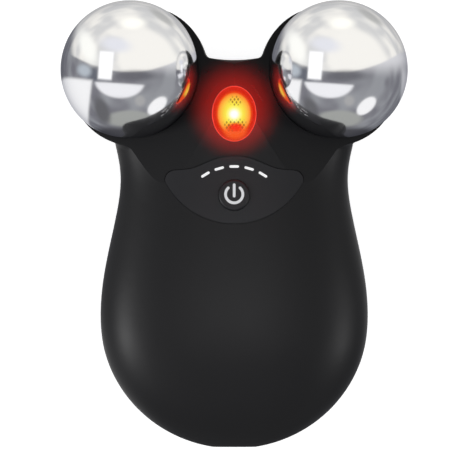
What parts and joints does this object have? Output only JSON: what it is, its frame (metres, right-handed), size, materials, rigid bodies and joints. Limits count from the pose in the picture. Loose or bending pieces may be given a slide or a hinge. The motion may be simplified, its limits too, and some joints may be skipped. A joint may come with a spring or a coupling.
{
  "type": "facial toning device",
  "caption": "Palm-size facial toning device: a black pear-shaped housing with two chromed electrode balls in cups, a lit oval window and a round power button.",
  "frame": {"origin": "middle of the flat rest face on the back", "axes": "+Z out of the front face, +Y from the round tail to the electrode balls, +X to the right seen from the front"},
  "size_m": [0.0734, 0.0945, 0.0396],
  "materials": {
    "soft_touch_shell": "matte",
    "panel_plastic": "satin",
    "button_plastic": "satin",
    "mark_white": "satin",
    "light_guide_white": "satin",
    "clear_lens": "gloss",
    "reflector_silver": "gloss",
    "lamp_red": "gloss",
    "lamp_white": "gloss",
    "ball_chrome": "polished",
    "gasket_rubber": "matte",
    "screw_steel": "satin",
    "lug_brass": "satin",
    "lead_red": "satin",
    "lead_black": "satin",
    "board_green": "satin",
    "chip_black": "matte",
    "ferrite_grey": "matte",
    "capacitor_tan": "satin",
    "port_steel": "satin",
    "foam_pad": "matte",
    "battery_foil": "satin",
    "plug_white": "satin",
    "plug_rubber": "matte"
  },
  "bodies": {
    "housing": {"front_shell": "soft_touch_shell", "rear_shell": "soft_touch_shell", "control_panel": "panel_plastic", "indicator_light_guide": "light_guide_white", "window_lens": "clear_lens", "window_reflector": "reflector_silver", "window_lamps": "lamp_red", "electrode_ball_left": "ball_chrome", "electrode_ball_right": "ball_chrome", "ball_gasket_left": "gasket_rubber", "ball_gasket_right": "gasket_rubber", "electrode_stud_left": "screw_steel", "electrode_stud_right": "screw_steel", "solder_lug_left": "lug_brass", "solder_lug_right": "lug_brass", "electrode_nut_left": "lug_brass", "electrode_nut_right": "lug_brass", "electrode_lead_left": "lead_red", "electrode_lead_right": "lead_red", "main_board": "board_green", "switch_base": "chip_black", "switch_cover": "screw_steel", "switch_dome": "screw_steel", "indicator_leds": "lamp_white", "controller_chip": "chip_black", "charger_chip": "chip_black", "boost_inductor": "ferrite_grey", "capacitors": "capacitor_tan", "charging_port_shell": "port_steel", "charging_port_tongue": "chip_black", "battery_pad": "foam_pad", "battery": "battery_foil", "battery_plug": "plug_white", "battery_lead_red": "lead_red", "battery_lead_black": "lead_black", "case_screws": "screw_steel", "board_screws": "screw_steel", "screw_plugs": "plug_rubber"},
    "power_button": {"power_button_cap": "button_plastic", "power_symbol": "mark_white", "switch_plunger": "chip_black"}
  },
  "joints": [
    {"name": "power_button_press", "type": "slide", "parent": "housing", "child": "power_button", "axis": [0, 0, -1], "range_m": [0, 0.0004], "stiffness_N_per_m": 1000, "springref_m": -0.001, "deforming": ["switch_dome"]}
  ]
}
